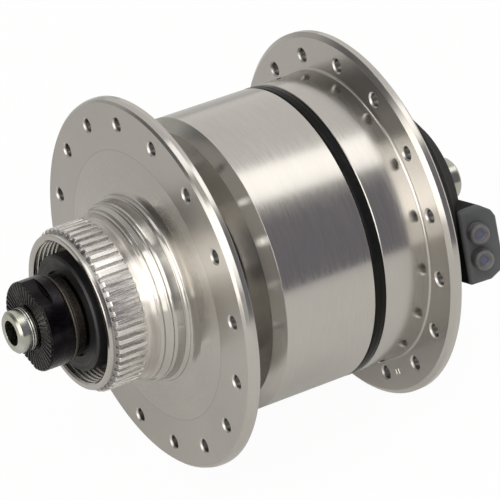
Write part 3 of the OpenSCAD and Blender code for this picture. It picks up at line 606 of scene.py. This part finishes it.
def flange_mark(name, degrees):
    """A short raised tick on the inner face of the right flange."""
    long_half = 0.0008
    wide_half = 0.0002
    middle = 0.0349
    foot_y = right_inner_y - 0.00001
    top_y = right_inner_y + 0.00013
    angle = math.radians(degrees)
    around = Vector((math.cos(angle), 0, -math.sin(angle)))
    out = Vector((math.sin(angle), 0, math.cos(angle)))
    verts = []
    for y, size in ((foot_y, 1.0), (top_y, 0.5)):
        for a, o in ((-1, -1), (1, -1), (1, 1), (-1, 1)):
            in_face = out * (middle + o * long_half * size) + around * (a * wide_half * size)
            verts.append(in_face + Vector((0, y, 0)))
    faces = [(0, 1, 2, 3), (4, 5, 6, 7)]
    for a in range(4):
        b = (a + 1) % 4
        faces.append((a, b, b + 4, a + 4))
    piece(name, verts, faces, "rotating_shell", "shell_aluminium")


flange_mark("flange_mark_a", 216.1)
flange_mark("flange_mark_b", 218.0)


# Light: a soft box overhead and one before the hub, both along the camera's right, and an even studio
def soft_box(name, place, facing, width, height, radiance):
    """An area light with its width along the camera's right, its height square to it, facing a way."""
    data = bpy.data.lights.new(name, "AREA")
    data.shape = "RECTANGLE"
    data.size = width
    data.size_y = height
    data.energy = radiance * math.pi * width * height
    data.color = (1.0, 0.985, 0.965)
    lamp = bpy.data.objects.new(name, data)
    scene.collection.objects.link(lamp)
    z_axis = -Vector(facing).normalized()
    x_axis = (right - z_axis * right.dot(z_axis)).normalized()
    set_axes(lamp, place, x_axis, z_axis.cross(x_axis), z_axis)
    lamp.visible_camera = False


def studio(side, forward, height):
    """A place given from the camera's side: to its right, away from it, and up."""
    return right * side + level * forward + Vector((0, 0, height))


front = studio(side=0.0, forward=-0.95, height=0.89)
over = studio(side=0.24, forward=0.128, height=0.95)
soft_box("overhead_box", over, (0, 0, -1), width=1.15, height=0.38, radiance=1.3)
soft_box("front_box", front, -front, width=1.0, height=1.21, radiance=2.0)


def lobe(t, around, base, direction, inner, outer, color):
    """Mixes a colour into the world around one direction, fading between two angles in degrees."""
    nearness = t.dot(around, Vector(direction).normalized())
    share = t.span(nearness, math.cos(math.radians(outer)), math.cos(math.radians(inner)))
    return t.mix(share, base, color)


def studio_world():
    """A grey studio with brighter and darker sides, which the camera itself sees as plain white."""
    world = bpy.data.worlds.new("studio")
    world.use_nodes = True
    t = Nodes(world.node_tree)
    out = t.add("ShaderNodeOutputWorld")
    background = t.add("ShaderNodeBackground")
    around = t.add("ShaderNodeTexCoord").outputs["Generated"]
    rays = t.add("ShaderNodeLightPath").outputs
    color = lobe(t, around, (0.55, 0.54, 0.52), (0, 0, -1), 60, 95, (0.65, 0.64, 0.62))
    color = lobe(t, around, color, (0.45, -0.75, 0.5), 35, 70, (0.92, 0.9, 0.87))
    color = lobe(t, around, color, (0.5, 0.8, 0.45), 15, 40, (0.2, 0.2, 0.2))
    color = lobe(t, around, color, (-0.42, 0.9, -0.03), 32, 54, (2.5, 2.42, 2.3))
    color = lobe(t, around, color, (-0.78, -0.5, 0.34), 22, 40, (0.24, 0.23, 0.26))
    t.link(t.mix(rays["Is Camera Ray"], color, (1.0, 1.0, 1.0)), background.inputs["Color"])
    background.inputs["Strength"].default_value = 1.0
    t.link(background.outputs[0], out.inputs[0])
    return world


scene.world = studio_world()


# Floor: the flanges stand on it
def floor_finish():
    """Pale paper, nearly white to the camera. Reflections see a painted glow on it, which darkens away from
    the light.
    """
    white_share = 0.96
    reflected_share = 0.35
    lean = 0.64
    fall_off = 0.16
    t = Finish("floor_paper", (0.815, 0.813, 0.805), 0.0, 0.85)
    t.base(t.mix(t.noise(9, 3), (0.8, 0.798, 0.79), (0.83, 0.828, 0.82)))
    x, y, z = t.parts(t.coords)
    far = t.span(t.plus(x, t.times(y, lean)), 0.0, fall_off)
    rays = t.add("ShaderNodeLightPath").outputs
    glow = t.add("ShaderNodeEmission")
    # Painted light: reflections see this glow, lighter at the hub and towards the front lamp, darker farther
    # away.
    painted_glow_for_reflections = t.mix(far, (0.69, 0.67, 0.63), (0.3, 0.295, 0.28))
    t.link(t.mix(rays["Is Camera Ray"], painted_glow_for_reflections, (1.0, 1.0, 1.0)), glow.inputs["Color"])
    to_camera = t.times(rays["Is Camera Ray"], white_share)
    to_others = t.times(t.larger(rays["Is Glossy Ray"], rays["Is Transmission Ray"]), reflected_share)
    blend = t.add("ShaderNodeMixShader")
    t.link(t.larger(to_camera, to_others), blend.inputs[0])
    t.link(t.bsdf.outputs[0], blend.inputs[1])
    t.link(glow.outputs[0], blend.inputs[2])
    t.link(blend.outputs[0], t.out.inputs["Surface"])
    return t.material


floor_z = cad_box[0][2]
floor_half = 4.0
floor_corners = [(x * floor_half, y * floor_half, floor_z) for x, y in ((-1, -1), (1, -1), (1, 1), (-1, 1))]
floor_mesh = bpy.data.meshes.new("floor")
floor_mesh.from_pydata(floor_corners, [], [(0, 1, 2, 3)])
floor_mesh.materials.append(floor_finish())
floor = bpy.data.objects.new("floor", floor_mesh)
scene.collection.objects.link(floor)
